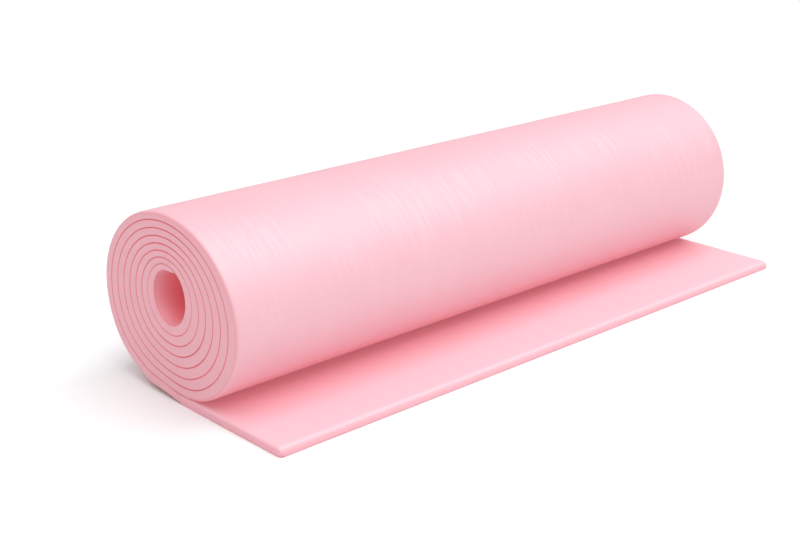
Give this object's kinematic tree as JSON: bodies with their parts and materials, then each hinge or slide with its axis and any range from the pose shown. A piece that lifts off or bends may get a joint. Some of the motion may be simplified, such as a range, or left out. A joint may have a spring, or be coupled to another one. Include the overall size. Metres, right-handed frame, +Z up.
{
  "type": "rolled exercise mat",
  "caption": "Soft foam exercise mat rolled into a spiral, with the outer end of the sheet lying flat and able to curl up against the roll.",
  "frame": {"origin": "middle of the footprint, on the floor", "axes": "+X along the roll towards its tighter end, -Y the way the flat end of the sheet points, +Z up"},
  "size_m": [0.61, 0.2256, 0.1538],
  "materials": {
    "foam": "pink closed-cell foam with a fine satin skin"
  },
  "bodies": {
    "wound_roll": {"wound_roll": "foam"},
    "flap_1": {"flap_1": "foam"},
    "flap_2": {"flap_2": "foam"},
    "flap_3": {"flap_3": "foam"},
    "flap_4": {"flap_4": "foam"},
    "flap_5": {"flap_5": "foam"},
    "flap_6": {"flap_6": "foam"},
    "flap_7": {"flap_7": "foam"},
    "flap_8": {"flap_8": "foam"}
  },
  "joints": [
    {"name": "curl_1", "type": "hinge", "parent": "wound_roll", "child": "flap_1", "pos_m": [0, -0.00882, 0.0072], "axis": [-1, 0, 0], "range_deg": [0, 11]},
    {"name": "curl_2", "type": "hinge", "parent": "flap_1", "child": "flap_2", "pos_m": [0, -0.02182, 0.0072], "axis": [-1, 0, 0], "range_deg": [0, 11]},
    {"name": "curl_3", "type": "hinge", "parent": "flap_2", "child": "flap_3", "pos_m": [0, -0.03482, 0.0072], "axis": [-1, 0, 0], "range_deg": [0, 11]},
    {"name": "curl_4", "type": "hinge", "parent": "flap_3", "child": "flap_4", "pos_m": [0, -0.04782, 0.0072], "axis": [-1, 0, 0], "range_deg": [0, 11]},
    {"name": "curl_5", "type": "hinge", "parent": "flap_4", "child": "flap_5", "pos_m": [0, -0.06082, 0.0072], "axis": [-1, 0, 0], "range_deg": [0, 11]},
    {"name": "curl_6", "type": "hinge", "parent": "flap_5", "child": "flap_6", "pos_m": [0, -0.07382, 0.0072], "axis": [-1, 0, 0], "range_deg": [0, 11]},
    {"name": "curl_7", "type": "hinge", "parent": "flap_6", "child": "flap_7", "pos_m": [0, -0.08682, 0.0072], "axis": [-1, 0, 0], "range_deg": [0, 11]},
    {"name": "curl_8", "type": "hinge", "parent": "flap_7", "child": "flap_8", "pos_m": [0, -0.09982, 0.0072], "axis": [-1, 0, 0], "range_deg": [0, 11]}
  ],
  "couplings": [
    {"joint": "curl_2", "follows": "curl_1", "ratio": 1},
    {"joint": "curl_3", "follows": "curl_1", "ratio": 1},
    {"joint": "curl_4", "follows": "curl_1", "ratio": 1},
    {"joint": "curl_5", "follows": "curl_1", "ratio": 1},
    {"joint": "curl_6", "follows": "curl_1", "ratio": 1},
    {"joint": "curl_7", "follows": "curl_1", "ratio": 1},
    {"joint": "curl_8", "follows": "curl_1", "ratio": 1}
  ]
}
